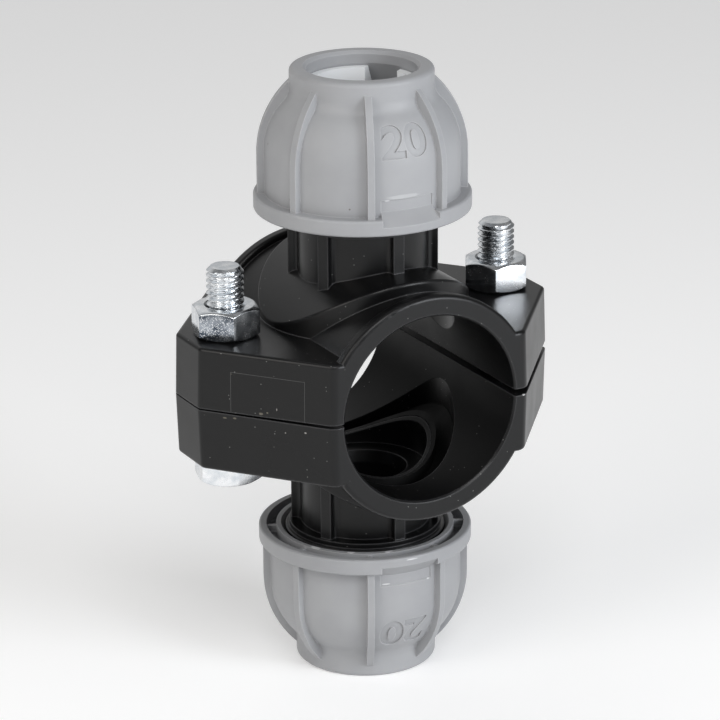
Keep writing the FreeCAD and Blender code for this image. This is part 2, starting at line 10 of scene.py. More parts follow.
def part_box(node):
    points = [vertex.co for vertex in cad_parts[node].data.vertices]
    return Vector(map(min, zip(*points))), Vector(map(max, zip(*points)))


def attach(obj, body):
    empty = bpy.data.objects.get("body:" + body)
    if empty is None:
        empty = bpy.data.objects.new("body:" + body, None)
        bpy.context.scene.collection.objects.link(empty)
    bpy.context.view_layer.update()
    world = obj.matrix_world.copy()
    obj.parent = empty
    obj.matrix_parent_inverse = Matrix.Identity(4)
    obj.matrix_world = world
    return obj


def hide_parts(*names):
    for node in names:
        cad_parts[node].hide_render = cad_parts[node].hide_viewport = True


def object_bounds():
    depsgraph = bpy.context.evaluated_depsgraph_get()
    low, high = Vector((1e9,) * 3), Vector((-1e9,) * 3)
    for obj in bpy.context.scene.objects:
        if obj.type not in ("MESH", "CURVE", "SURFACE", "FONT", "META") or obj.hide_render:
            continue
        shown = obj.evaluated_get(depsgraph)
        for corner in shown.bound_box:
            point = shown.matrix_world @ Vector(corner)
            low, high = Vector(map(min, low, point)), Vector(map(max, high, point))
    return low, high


# A double tapping saddle on a pale studio table, in metres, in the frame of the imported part:
# pipe axis along Y, branches along Z, bolts along X.

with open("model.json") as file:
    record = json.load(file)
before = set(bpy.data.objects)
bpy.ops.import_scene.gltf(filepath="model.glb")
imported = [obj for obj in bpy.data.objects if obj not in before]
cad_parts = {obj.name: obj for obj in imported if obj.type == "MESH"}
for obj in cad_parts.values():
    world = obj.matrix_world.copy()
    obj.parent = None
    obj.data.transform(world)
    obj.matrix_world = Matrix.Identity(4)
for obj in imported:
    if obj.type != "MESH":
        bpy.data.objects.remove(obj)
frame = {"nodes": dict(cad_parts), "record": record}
cad_box = [list(corner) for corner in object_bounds()]

MM = 0.001

# The photograph's viewpoint
VIEW_TURN = math.radians(-28.127)
VIEW_RISE = math.radians(19.491)
VIEW_ROLL = math.radians(-0.435)
VIEW_DISTANCE = 757.95 * MM
AIM_ASIDE = -0.794 * MM
AIM_UP = 1.783 * MM
FOCAL_PIXELS = 3572.8
FRAME_PIXELS = 720
SENSOR_MM = 36.0


# Meshes

SAME_POINT = 0.002 * MM
ROUNDED_DECIMALS = 7
SHARP_ABOVE = math.radians(32)
NORMALS_PART = math.cos(math.radians(4))


def new_object(name, data):
    item = bpy.data.objects.new(name, data)
    bpy.context.scene.collection.objects.link(item)
    return item


def grid_mesh(name, points, wrap_rows=False):
    """Faces over a grid of points, rows by columns, whose columns run once round. With columns
    anticlockwise about the axis and rows anticlockwise in the (radius, level) plane, faces point
    outwards. Rows drawn together at a pole or a join are merged, and sharp edges are marked."""
    rows, columns = points.shape[:2]
    index = np.arange(rows * columns).reshape(rows, columns)
    if wrap_rows:
        index = np.vstack([index, index[:1]])
    beside = np.roll(index, -1, axis=1)
    quads = np.stack([index[:-1], beside[:-1], beside[1:], index[1:]], axis=-1).reshape(-1, 4)
    mesh = bpy.data.meshes.new(name)
    mesh.from_pydata(points.reshape(-1, 3), [], quads.tolist())
    work = bmesh.new()
    work.from_mesh(mesh)
    bmesh.ops.remove_doubles(work, verts=work.verts, dist=SAME_POINT)
    work.to_mesh(mesh)
    work.free()
    mesh.shade_smooth()
    mesh.set_sharp_from_angle(angle=SHARP_ABOVE)
    return mesh


def polar(radius, turn, level):
    """Points at a radius and turn about Z, at a level, as arrays of one shape."""
    radius, turn, level = np.broadcast_arrays(radius, turn, level)
    return np.stack([radius * np.cos(turn), radius * np.sin(turn), level], axis=-1)


def settled(item):
    """An object's mesh with its modifiers carried out."""
    return bpy.data.meshes.new_from_object(
        item.evaluated_get(bpy.context.evaluated_depsgraph_get()))


def merged(node, name):
    """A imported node's loose triangles joined into one mesh. An edge is sharp where the node's own
    normals part across it."""
    source = frame["nodes"][node].data
    points = np.array([v.co[:] for v in source.vertices])
    faces = np.array([p.vertices[:] for p in source.polygons])
    normals = np.array([n.vector[:] for n in source.corner_normals]).reshape(-1, 3, 3)
    _, first, joined = np.unique(np.round(points, ROUNDED_DECIMALS), axis=0,
                                 return_index=True, return_inverse=True)
    faces = joined.reshape(-1)[faces]
    whole = (faces != np.roll(faces, 1, axis=1)).all(axis=1)
    faces, normals = faces[whole], normals[whole]
    ends = np.stack([faces, np.roll(faces, -1, axis=1)], axis=-1).reshape(-1, 2)
    sides = np.stack([normals, np.roll(normals, -1, axis=1)], axis=2).reshape(-1, 2, 3)
    turned = ends[:, 0] > ends[:, 1]
    ends[turned], sides[turned] = ends[turned][:, ::-1], sides[turned][:, ::-1]
    order = np.lexsort((ends[:, 1], ends[:, 0]))
    ends, sides = ends[order], sides[order]
    pair = (ends[1:] == ends[:-1]).all(axis=1)
    parted = pair & ((sides[1:] * sides[:-1]).sum(axis=-1).min(axis=-1) < NORMALS_PART)
    creases = {tuple(e) for e in ends[1:][parted].tolist()}
    mesh = bpy.data.meshes.new(name)
    mesh.from_pydata(points[first], [], faces.tolist())
    work = bmesh.new()
    work.from_mesh(mesh)
    for edge in work.edges:
        edge.smooth = tuple(sorted(v.index for v in edge.verts)) not in creases
    work.to_mesh(mesh)
    work.free()
    mesh.shade_smooth()
    return mesh


def carved(node, name, cutter):
    """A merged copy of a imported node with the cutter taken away. New edges are sharp by their
    angle, and normals are weighted by area, so that flat faces stay flat."""
    item = new_object(name, merged(node, name))
    change = item.modifiers.new("cut", "BOOLEAN")
    change.object, change.operation, change.solver = cutter, "DIFFERENCE", "EXACT"
    item.data = settled(item)
    item.modifiers.clear()
    work = bmesh.new()
    work.from_mesh(item.data)
    for edge in work.edges:
        if len(edge.link_faces) == 2 and edge.calc_face_angle() > SHARP_ABOVE:
            edge.smooth = False
    work.to_mesh(item.data)
    work.free()
    item.modifiers.new("normals", "WEIGHTED_NORMAL").keep_sharp = True
    item.data = settled(item)
    item.modifiers.clear()
    bpy.data.objects.remove(cutter)
    return item


# Numerals on the nuts, and the threads of the necks

# The nut's cup, and the dome that closes it: radii, and the dome's start above the nut's open end
NUT_CUP = 20.5 * MM
NUT_DOME = 14.7 * MM
NUT_DOME_START = 13.0 * MM
VIEW_SIDE = VIEW_TURN - math.pi / 2
NUMERALS = "20"
NUMERALS_BOLDER = 0.036
NUMERALS_SLICES = 13
NUMERALS_HIGH = 7.2 * MM
NUMERALS_WIDE = 10.3 * MM
NUMERALS_FOOT = 2.4 * MM
NUMERALS_DEPTH = 0.34 * MM
NUMERALS_PROUD = 1.0 * MM
NUMERALS_RADIUS = 19.3 * MM
UPPER_NUMERALS_TURN = math.radians(26.6)
LOWER_NUMERALS_TURN = math.radians(24.2)
# The groove between the neck's threads: its foot and mouth are half widths, and its low end is
# counted down from the neck's end
THREAD_LEAD = 4.0 * MM
NECK_THREAD = 17.2 * MM
NECK_THREAD_DEPTH = 1.0 * MM
NECK_THREAD_LOW = 15.4 * MM
NECK_THREAD_TURNS = 4.6
NECK_THREAD_RUN_IN = 0.25
NECK_THREAD_STEPS = 72
GROOVE_MOUTH = 1.75 * MM
GROOVE_FOOT = 0.85 * MM
GROOVE_PROUD = 1.5 * MM


def numerals_cutter(name, nut, upper):
    """Bold numerals, sliced fine and wrapped on the nut's dome: across by turn, up along the
    dome's meridian, and out along its normal. The lower nut is the same moulding upside down."""
    curve = bpy.data.curves.new(name, "FONT")
    curve.body = NUMERALS
    curve.offset = NUMERALS_BOLDER
    curve.extrude = 0.5
    item = new_object(name, curve)
    mesh = settled(item)
    bpy.data.objects.remove(item)
    work = bmesh.new()
    work.from_mesh(mesh)
    bmesh.ops.remove_doubles(work, verts=work.verts, dist=0.0005)
    flat = np.array([v.co[:] for v in work.verts])
    low, high = flat.min(axis=0), flat.max(axis=0)
    for axis in (0, 1):
        for cut in np.linspace(low[axis], high[axis], NUMERALS_SLICES + 1)[1:-1]:
            place, normal = [0, 0, 0], [0, 0, 0]
            place[axis], normal[axis] = cut, 1
            bmesh.ops.bisect_plane(work, geom=work.verts[:] + work.edges[:] + work.faces[:],
                                   plane_co=place, plane_no=normal)
    bmesh.ops.triangulate(work, faces=work.faces)
    across, up, out = ((np.array([v.co[:] for v in work.verts]) - low) / (high - low)).T
    if upper:
        sign, base, middle = 1, nut[0].z, UPPER_NUMERALS_TURN
    else:
        sign, base, middle = -1, nut[1].z, LOWER_NUMERALS_TURN
    tilt = (NUMERALS_FOOT + up * NUMERALS_HIGH) / NUT_DOME
    reach = NUT_DOME + np.where(out > 0.5, NUMERALS_PROUD, -NUMERALS_DEPTH)
    radius = NUT_CUP - NUT_DOME + reach * np.cos(tilt)
    level = base + sign * (NUT_DOME_START + reach * np.sin(tilt))
    turn = VIEW_SIDE + middle + sign * (across - 0.5) * NUMERALS_WIDE / NUMERALS_RADIUS
    for vertex, point in zip(work.verts, polar(radius, turn, level)):
        vertex.co = point
    bmesh.ops.recalc_face_normals(work, faces=work.faces)
    if work.calc_volume(signed=True) < 0:
        bmesh.ops.reverse_faces(work, faces=work.faces)
    cutter = bpy.data.meshes.new(name)
    work.to_mesh(cutter)
    work.free()
    return new_object(name, cutter)


def neck_thread_cutter(name, neck_end, upper):
    """The hollow of a coarse right-hand thread: a flat-bottomed groove wound up the neck, running
    out of the surface at its lower end. Its section is a trapezium of radius and level."""
    steps = np.linspace(0, NECK_THREAD_TURNS, int(NECK_THREAD_TURNS * NECK_THREAD_STEPS))
    root = NECK_THREAD - NECK_THREAD_DEPTH * np.clip(steps / NECK_THREAD_RUN_IN, 0.02, 1)
    middle = neck_end - NECK_THREAD_LOW + THREAD_LEAD * steps
    outer = NECK_THREAD + GROOVE_PROUD
    section = [(outer, -GROOVE_MOUTH), (outer, GROOVE_MOUTH), (root, GROOVE_FOOT),
               (root, -GROOVE_FOOT)]
    points = np.stack([polar(r + 0 * steps, 2 * math.pi * steps, middle + rise)
                       for r, rise in section], axis=1)
    if not upper:
        points = points * [1, -1, -1]
    count = len(steps)
    index = np.arange(count * 4).reshape(count, 4)
    beside = np.roll(index, -1, axis=1)
    quads = np.stack([index[:-1], beside[:-1], beside[1:], index[1:]], axis=-1).reshape(-1, 4)
    faces = quads.tolist() + [index[0].tolist(), index[-1][::-1].tolist()]
    mesh = bpy.data.meshes.new(name)
    mesh.from_pydata(points.reshape(-1, 3), [], faces)
    work = bmesh.new()
    work.from_mesh(mesh)
    bmesh.ops.recalc_face_normals(work, faces=work.faces)
    work.to_mesh(mesh)
    work.free()
    return new_object(name, mesh)


# Fasteners

HEX_FLATS = 13.0 * MM
HEX_CROWN = 6.0 * MM
HEX_SLOPE = math.tan(math.radians(30))
HEX_ROUNDING = 70
HEX_HEAD = 5.3 * MM
EDGE_SOFTENING = 0.12 * MM
ROUND_STEPS = 96
THREAD_PITCH = 1.25 * MM
THREAD_CREST = 3.93 * MM
THREAD_DEPTH = 0.68 * MM
THREAD_STEPS = 12
THREAD_LENGTH = 22.0 * MM
# Shares of the thread's half pitch: the flat crest, and the flank after it
CREST_FLAT = 0.16
FLANK = 0.62
TIP_BEVEL = 0.95 * MM
TIP_EDGE = 0.02 * MM
BORE_CLEARANCE = 0.03 * MM
COUNTERSINK = 0.55 * MM
COUNTERSINK_DEPTH = 0.5 * MM
LEFT_HEX_TURN = math.radians(16.4)
RIGHT_HEX_TURN = 0.0


def hex_radius(turn):
    """Distance from the axis to a hexagon's side, with softened corners, one of them on the X
    axis: the three pairs of sides are combined by a high power, which is sharp along the sides
    and round at the corners."""
    pairs = np.stack([np.abs(np.cos(turn - (k + 0.5) * math.pi / 3)) for k in range(3)])
    return HEX_FLATS / 2 * (pairs ** HEX_ROUNDING).sum(axis=0) ** (-1 / HEX_ROUNDING)


def hex_face_rows(level, inward, turn):
    """Rows from the flat crown of a hexagon's face, down its 30 degree bevel, to its side."""
    side = hex_radius(turn)
    drop = np.maximum(side - HEX_CROWN, 0) * HEX_SLOPE
    soft = EDGE_SOFTENING
    return [
        (HEX_CROWN - soft, level),
        (HEX_CROWN + soft, level + inward * soft * HEX_SLOPE / 2),
        (side - soft, level + inward * (drop - soft * HEX_SLOPE)),
        (side - soft * 0.25, level + inward * (drop + soft * 0.2)),
        (side, level + inward * (drop + soft)),
    ]


def turned_points(rows, turn, turned, low, high):
    """A grid of points from rows of radius and level, turned about the middle of a box."""
    points = np.stack([polar(radius, turn, level) for radius, level in rows])
    centre = (low + high) / 2
    return points @ np.array(Matrix.Rotation(turned, 3, "Z")).T + [centre.x, centre.y, 0]


def bolt_piece(node, turned):
    """A hex bolt, head down. Above the plain shank the radius follows the thread: a triangle wave
    of the height less one pitch per turn, flattened at crest and root, under the tip's bevel."""
    low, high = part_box(node)
    head_top = low.z + HEX_HEAD
    turn = np.linspace(0, 2 * math.pi, ROUND_STEPS, endpoint=False)
    levels = np.arange(high.z - THREAD_LENGTH, high.z, THREAD_PITCH / THREAD_STEPS)
    wave = np.abs(((levels[:, None] / THREAD_PITCH - turn / (2 * math.pi)) % 1.0) * 2 - 1)
    form = np.clip((wave - CREST_FLAT) / FLANK, 0, 1)
    run_in = np.clip((levels[:, None] - levels[0]) / (2 * THREAD_PITCH), 0, 1)
    radius = THREAD_CREST - THREAD_DEPTH * form * run_in
    tip = THREAD_CREST - TIP_BEVEL * np.clip((levels[:, None] - high.z) / TIP_BEVEL + 1, 0, 1)
    radius = np.minimum(radius, tip)
    end = radius[-1].min()
    rows = [(0, low.z)] + hex_face_rows(low.z, 1, turn)
    rows += [(r, level) for r, level in reversed(hex_face_rows(head_top, -1, turn))]
    rows += [(THREAD_CREST, head_top), (THREAD_CREST, levels[0])]
    rows += list(zip(radius, levels))
    rows += [(end, high.z - TIP_EDGE), (end * 0.9, high.z), (end * 0.5, high.z), (0, high.z)]
    name = node + "_threaded"
    return new_object(name, grid_mesh(name, turned_points(rows, turn, turned, low, high)))


def hex_nut_piece(node, turned):
    """A hex nut: both faces bevelled to the hexagon, and a countersunk bore."""
    low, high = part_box(node)
    turn = np.linspace(0, 2 * math.pi, ROUND_STEPS, endpoint=False)
    bore, mouth = THREAD_CREST + BORE_CLEARANCE, THREAD_CREST + COUNTERSINK
    rows = [(mouth, low.z)] + hex_face_rows(low.z, 1, turn)
    rows += list(reversed(hex_face_rows(high.z, -1, turn)))
    rows += [(mouth, high.z), (bore, high.z - COUNTERSINK_DEPTH),
             (bore, low.z + COUNTERSINK_DEPTH)]
    name = node + "_bevelled"
    points = turned_points(rows, turn, turned, low, high)
    return new_object(name, grid_mesh(name, points, wrap_rows=True))


# Materials

def add_node(tree, kind, inputs=None, **settings):
    """A node with its settings made and its inputs given as numbers, colours or linked sockets."""
    item = tree.nodes.new(kind)
    for name, value in settings.items():
        setattr(item, name, value)
    for name, value in (inputs or {}).items():
        if isinstance(value, bpy.types.NodeSocket):
            tree.links.new(value, item.inputs[name])
        else:
            item.inputs[name].default_value = value
    return item


def new_group(name, inputs, outputs):
    """An empty node group with a position, named inputs (a vector where the value is a tuple, or
    else a float) and float outputs."""
    tree = bpy.data.node_groups.new(name, "ShaderNodeTree")
    tree.interface.new_socket("Position", in_out="INPUT", socket_type="NodeSocketVector")
    for socket, value in inputs.items():
        kind = "NodeSocketVector" if isinstance(value, tuple) else "NodeSocketFloat"
        made = tree.interface.new_socket(socket, in_out="INPUT", socket_type=kind)
        made.default_value = value
    for socket in outputs:
        tree.interface.new_socket(socket, in_out="OUTPUT", socket_type="NodeSocketFloat")
    return tree, tree.nodes.new("NodeGroupInput"), tree.nodes.new("NodeGroupOutput")


def moulded_grain_group():
    """The fine uneven skin of a moulding: close grain as a height, broad cloudiness as a value."""
    tree, given, result = new_group(
        "moulded_grain", {"Grain scale": 2500.0, "Cloud scale": 90.0}, ("Height", "Cloud"))
    grain = add_node(tree, "ShaderNodeTexNoise", {
        "Vector": given.outputs["Position"], "Scale": given.outputs["Grain scale"],
        "Detail": 2.0, "Roughness": 0.6})
    cloud = add_node(tree, "ShaderNodeTexNoise", {
        "Vector": given.outputs["Position"], "Scale": given.outputs["Cloud scale"],
        "Detail": 4.0, "Roughness": 0.55})
    tree.links.new(grain.outputs["Fac"], result.inputs["Height"])
    tree.links.new(cloud.outputs["Fac"], result.inputs["Cloud"])
    return tree


def specks_group():
    """Loose dust: small round specks, each cell of a Voronoi pattern having one or none."""
    tree, given, result = new_group(
        "dust_specks", {"Scale": 700.0, "Size": 0.16, "Share": 0.12}, ("Mask",))
    cells = add_node(tree, "ShaderNodeTexVoronoi", {
        "Vector": given.outputs["Position"], "Scale": given.outputs["Scale"]})
    near = add_node(tree, "ShaderNodeMath", {
        0: cells.outputs["Distance"], 1: given.outputs["Size"]}, operation="LESS_THAN")
    pick = add_node(tree, "ShaderNodeSeparateColor", {"Color": cells.outputs["Color"]})
    chosen = add_node(tree, "ShaderNodeMath", {0: pick.outputs["Red"], 1: given.outputs["Share"]},
                      operation="LESS_THAN")
    both = add_node(tree, "ShaderNodeMath", {0: near.outputs[0], 1: chosen.outputs[0]},
                    operation="MULTIPLY")
    tree.links.new(both.outputs[0], result.inputs["Mask"])
    return tree


def worn_edge_and_highlight_group():
    """Where the surface turns over an edge: the rounded normal leaves the true one. The materials
    lighten their colour there, partly as wear and partly as a painted highlight along the edges.
    """
    tree, given, result = new_group("worn_edge_and_highlight", {"Reach": 0.0004, "Gain": 6.0}, ("Mask",))
    rounded = add_node(tree, "ShaderNodeBevel", {"Radius": given.outputs["Reach"]}, samples=4)
    true = add_node(tree, "ShaderNodeNewGeometry")
    dot = add_node(tree, "ShaderNodeVectorMath", {
        0: rounded.outputs["Normal"], 1: true.outputs["Normal"]}, operation="DOT_PRODUCT")
    away = add_node(tree, "ShaderNodeMath", {0: 1.0, 1: dot.outputs["Value"]}, operation="SUBTRACT")
    gain = add_node(tree, "ShaderNodeMath", {0: away.outputs[0], 1: given.outputs["Gain"]},
                    operation="MULTIPLY", use_clamp=True)
    tree.links.new(gain.outputs[0], result.inputs["Mask"])
    return tree


def scuff_group():
    """A ragged mark: inside an ellipsoid about a centre, its edge broken up by noise."""
    tree, given, result = new_group("scuff", {
        "Ragged": 0.6, "Noise scale": 900.0, "Centre": (0, 0, 0), "Size": (MM, MM, MM)}, ("Mask",))
    away = add_node(tree, "ShaderNodeVectorMath", {
        0: given.outputs["Position"], 1: given.outputs["Centre"]}, operation="SUBTRACT")
    scaled = add_node(tree, "ShaderNodeVectorMath", {
        0: away.outputs["Vector"], 1: given.outputs["Size"]}, operation="DIVIDE")
    reach = add_node(tree, "ShaderNodeVectorMath", {0: scaled.outputs["Vector"]},
                     operation="LENGTH")
    noise = add_node(tree, "ShaderNodeTexNoise", {
        "Vector": given.outputs["Position"], "Scale": given.outputs["Noise scale"], "Detail": 2.0})
    broken = add_node(tree, "ShaderNodeMath", {
        0: noise.outputs["Fac"], 1: given.outputs["Ragged"], 2: reach.outputs["Value"]},
        operation="MULTIPLY_ADD")
    mask = add_node(tree, "ShaderNodeMapRange", {
        "Value": broken.outputs[0], "From Min": 0.9, "From Max": 1.1, "To Min": 1.0, "To Max": 0.0})
    tree.links.new(mask.outputs["Result"], result.inputs["Mask"])
    return tree


def inside_bore_group():
    """Whether a point lies on the pipe bore or anything deeper than its wall."""
    tree, given, result = new_group("inside_bore", {"Radius": 0.02009}, ("Mask",))
    parts = add_node(tree, "ShaderNodeSeparateXYZ", {"Vector": given.outputs["Position"]})
    flat = add_node(tree, "ShaderNodeCombineXYZ", {
        "X": parts.outputs["X"], "Z": parts.outputs["Z"]})
    reach = add_node(tree, "ShaderNodeVectorMath", {0: flat.outputs["Vector"]}, operation="LENGTH")
    mask = add_node(tree, "ShaderNodeMath", {
        0: reach.outputs["Value"], 1: given.outputs["Radius"]}, operation="LESS_THAN")
    tree.links.new(mask.outputs[0], result.inputs["Mask"])
    return tree


# The scribed frame: the middle of its top line, the line's direction, the face's normal, and
# half the frame's width, its drop, and how deep its skin reaches
FRAME_MIDDLE = (-0.03190, -0.01775, 0.00897)
FRAME_ALONG = (-0.6247, 0.7809, 0)
FRAME_NORMAL = (-0.7809, -0.6247, 0)
FRAME_HALF = 0.00827
FRAME_DROP = 0.0086
FRAME_SKIN = 0.0008


def scribed_frame_group():
    """A thin frame scribed on the left ear's front: a line across the top and one down each side,
    by distance along the face and level. It keeps to the skin of that face."""
    tree, given, result = new_group("scribed_frame", {"Width": 0.00004}, ("Mask",))
    away = add_node(tree, "ShaderNodeVectorMath", {
        0: given.outputs["Position"], 1: FRAME_MIDDLE}, operation="SUBTRACT")
    along = add_node(tree, "ShaderNodeVectorMath", {0: away.outputs["Vector"], 1: FRAME_ALONG},
                     operation="DOT_PRODUCT")
    proud = add_node(tree, "ShaderNodeVectorMath", {0: away.outputs["Vector"], 1: FRAME_NORMAL},
                     operation="DOT_PRODUCT")
    level = add_node(tree, "ShaderNodeSeparateXYZ", {"Vector": away.outputs["Vector"]}).outputs["Z"]
    aside = add_node(tree, "ShaderNodeMath", {0: along.outputs["Value"]}, operation="ABSOLUTE")
    beyond = add_node(tree, "ShaderNodeMath", {0: aside.outputs[0], 1: FRAME_HALF},
                      operation="SUBTRACT")
    corner = add_node(tree, "ShaderNodeMath", {0: beyond.outputs[0], 1: level},
                      operation="MAXIMUM")
    line = add_node(tree, "ShaderNodeMath", {
        0: corner.outputs[0], 1: 0.0, 2: given.outputs["Width"]}, operation="COMPARE")
    skin = add_node(tree, "ShaderNodeMath", {0: proud.outputs["Value"], 1: 0.0, 2: FRAME_SKIN},
                    operation="COMPARE")
    above = add_node(tree, "ShaderNodeMath", {0: level, 1: -FRAME_DROP},
                     operation="GREATER_THAN")
    both = add_node(tree, "ShaderNodeMath", {0: line.outputs[0], 1: skin.outputs[0]},
                    operation="MULTIPLY")
    kept = add_node(tree, "ShaderNodeMath", {0: both.outputs[0], 1: above.outputs[0]},
                    operation="MULTIPLY")
    tree.links.new(kept.outputs[0], result.inputs["Mask"])
    return tree


def facing_group():
    """How squarely the surface faces a direction, as a mask of the faces within 20 degrees."""
    tree, given, result = new_group("facing", {"Limit": 0.94, "Direction": (1, 0, 0)}, ("Mask",))
    normal = add_node(tree, "ShaderNodeTexCoord").outputs["Normal"]
    dot = add_node(tree, "ShaderNodeVectorMath", {0: normal, 1: given.outputs["Direction"]},
                   operation="DOT_PRODUCT")
    mask = add_node(tree, "ShaderNodeMath", {0: dot.outputs["Value"], 1: given.outputs["Limit"]},
                    operation="GREATER_THAN")
    tree.links.new(mask.outputs[0], result.inputs["Mask"])
    return tree


GROUPS = {
    "scribed_frame": scribed_frame_group(),
    "facing": facing_group(),
    "grain": moulded_grain_group(),
    "specks": specks_group(),
    "edge": worn_edge_and_highlight_group(),
    "scuff": scuff_group(),
    "inside_bore": inside_bore_group(),
}


# The places of a mix node's colour sockets
MIX_FIRST_COLOUR, MIX_SECOND_COLOUR, MIX_RESULT = 6, 7, 2


def use_group(tree, name, position, values=None):
    """A shared effect put into a material's tree."""
    item = add_node(tree, "ShaderNodeGroup", node_tree=GROUPS[name])
    tree.links.new(position, item.inputs["Position"])
    for socket, value in (values or {}).items():
        item.inputs[socket].default_value = value
    return item


def new_material(name):
    """A material with its Principled shader and Object coordinates ready."""
    material = bpy.data.materials.new(name)
    material.use_nodes = True
    tree = material.node_tree
    shader = tree.nodes["Principled BSDF"]
    position = add_node(tree, "ShaderNodeTexCoord").outputs["Object"]
    return material, tree, shader, position


def mix_colour(tree, factor, first, second):
    """One colour turning into another as the factor rises; either may be a socket."""
    mix = add_node(tree, "ShaderNodeMix", {"Factor": factor}, data_type="RGBA")
    for number, colour in ((MIX_FIRST_COLOUR, first), (MIX_SECOND_COLOUR, second)):
        if isinstance(colour, bpy.types.NodeSocket):
            tree.links.new(colour, mix.inputs[number])
        else:
            mix.inputs[number].default_value = (*colour, 1)
    return mix.outputs[MIX_RESULT]


def ramp(tree, value, low, high, to_low=0.0, to_high=1.0):
    """A value carried from one range to another, and held at its ends."""
    item = add_node(tree, "ShaderNodeMapRange", {
        "Value": value, "From Min": low, "From Max": high, "To Min": to_low, "To Max": to_high})
    return item.outputs["Result"]


def cloudy_roughness(tree, shader, grain, low, high):
    """Roughness that drifts between two values with the cloudiness."""
    tree.links.new(ramp(tree, grain.outputs["Cloud"], 0.3, 0.7, low, high),
                   shader.inputs["Roughness"])


def grain_bump(tree, shader, grain, strength, distance=0.00003, soft_edge=0.0):
    """The close grain as a bump, over edges rounded to a radius if one is given."""
    bump = add_node(tree, "ShaderNodeBump", {
        "Strength": strength, "Distance": distance, "Height": grain.outputs["Height"]})
    if soft_edge:
        soft = add_node(tree, "ShaderNodeBevel", {"Radius": soft_edge}, samples=6)
        tree.links.new(soft.outputs["Normal"], bump.inputs["Normal"])
    tree.links.new(bump.outputs["Normal"], shader.inputs["Normal"])


def marked(tree, position, colour, marks):
    """Lay scuffs over a colour, each given as centre and size in millimetres, colour and how
    ragged it is."""
    for centre, size, mark, ragged in marks:
        scuff = use_group(tree, "scuff", position, {
            "Centre": [v * MM for v in centre], "Size": [v * MM for v in size], "Ragged": ragged})
        colour = mix_colour(tree, scuff.outputs["Mask"], colour, mark)
    return colour


CRUMB = (0.11, 0.10, 0.08)
CHALK = (0.25, 0.24, 0.23)
BURR = (0.5, 0.5, 0.5)
BLACK_MARKS = [
    ((-32.8, -16.6, 0.9), (0.9, 0.9, 0.45), CRUMB, 0.9),
    ((-31.9, -17.7, 1.3), (0.25, 0.25, 0.2), CRUMB, 0.4),
    ((-30.6, -19.35, 2.3), (0.14, 0.14, 0.35), CHALK, 0.2),
    ((-37.9, -10.2, -1.1), (1.0, 1.0, 0.3), CRUMB, 1.1),
    ((-36.6, -11.9, -0.9), (0.6, 0.6, 0.35), CRUMB, 1.1),
    ((-26.6, -24.3, -1.9), (0.35, 0.35, 0.25), CHALK, 0.7),
    ((-29.4, -20.8, -2.5), (0.2, 0.2, 0.2), CHALK, 0.5),
    ((-36.9, -11.4, 8.6), (0.45, 0.45, 0.2), CRUMB, 0.9),
    ((-26.9, -24.0, 9.3), (0.35, 0.35, 0.15), CRUMB, 0.7),
    ((22.3, -29.2, -0.7), (0.6, 0.8, 0.4), BURR, 0.5),
]


def black_moulding():
    """Satin black polypropylene: fine grain, cloudy gloss, edges lightened partly by wear and
    partly as a painted highlight, dust and dirt, and painted shade inside the bore: a darker
    colour there, with a rougher and weaker reflection."""
    material, tree, shader, position = new_material("black_moulding")
    grain = use_group(tree, "grain", position, {"Grain scale": 2600.0, "Cloud scale": 60.0})
    edge = use_group(tree, "edge", position, {"Reach": 0.0005, "Gain": 4.0})
    dust = use_group(tree, "specks", position, {"Scale": 1100.0, "Size": 0.12, "Share": 0.10})
    inside = use_group(tree, "inside_bore", position)
    cloud = ramp(tree, grain.outputs["Cloud"], 0.35, 0.65)
    base = mix_colour(tree, cloud, (0.003, 0.003, 0.0033), (0.0045, 0.0045, 0.0048))
    # Painted shade: everything within the pipe's bore is coloured darker.
    shaded_in_bore = mix_colour(tree, inside.outputs["Mask"], base, (0.0025, 0.0025, 0.0027))
    # Edges lightened in colour: partly wear, partly a painted highlight.
    worn_and_lit = mix_colour(tree, edge.outputs["Mask"], shaded_in_bore, (0.065, 0.065, 0.068))
    dusty = mix_colour(tree, dust.outputs["Mask"], worn_and_lit, (0.17, 0.17, 0.165))
    scribed = use_group(tree, "scribed_frame", position)
    lined = mix_colour(tree, scribed.outputs["Mask"], dusty, (0.075, 0.075, 0.075))
    tree.links.new(marked(tree, position, lined, BLACK_MARKS), shader.inputs["Base Color"])
    gloss = ramp(tree, grain.outputs["Cloud"], 0.3, 0.7, 0.26, 0.36)
    rough = add_node(tree, "ShaderNodeMath", {
        0: inside.outputs["Mask"], 1: 0.08, 2: gloss}, operation="MULTIPLY_ADD")
    tree.links.new(rough.outputs[0], shader.inputs["Roughness"])
    # Weaker reflection inside the bore, part of its painted shade.
    tree.links.new(ramp(tree, inside.outputs["Mask"], 0, 1, 0.31, 0.10),
                   shader.inputs["Specular IOR Level"])
    grain_bump(tree, shader, grain, 0.12, soft_edge=0.0003)
    return material


def nut_place(turn, level, reach=20.5):
    """A point on a nut, its turn counted in degrees from the camera's side."""
    angle = VIEW_SIDE + math.radians(turn)
    return (reach * math.cos(angle), reach * math.sin(angle), level)


PALE = (0.62, 0.62, 0.63)
SMEAR = (0.40, 0.405, 0.415)
GREY_MARKS = [
    (nut_place(24.0, 43.6), (4.4, 4.4, 0.55), SMEAR, 0.5),
    (nut_place(14.0, 43.0), (1.2, 1.2, 0.25), PALE, 0.9),
    (nut_place(12.2, -41.4), (1.1, 1.1, 0.16), PALE, 0.35),
    (nut_place(40.4, -41.9), (0.5, 0.5, 0.22), PALE, 0.5),
    (nut_place(25.0, -35.4, 22.8), (2.2, 2.2, 0.25), PALE, 0.9),
    (nut_place(-34.0, -34.8, 18.2), (2.4, 2.4, 0.22), PALE, 1.1),
    (nut_place(-9.0, -34.8, 18.2), (1.6, 1.6, 0.22), PALE, 1.1),
    (nut_place(16.0, -34.8, 18.2), (2.0, 2.0, 0.22), PALE, 1.1),
]


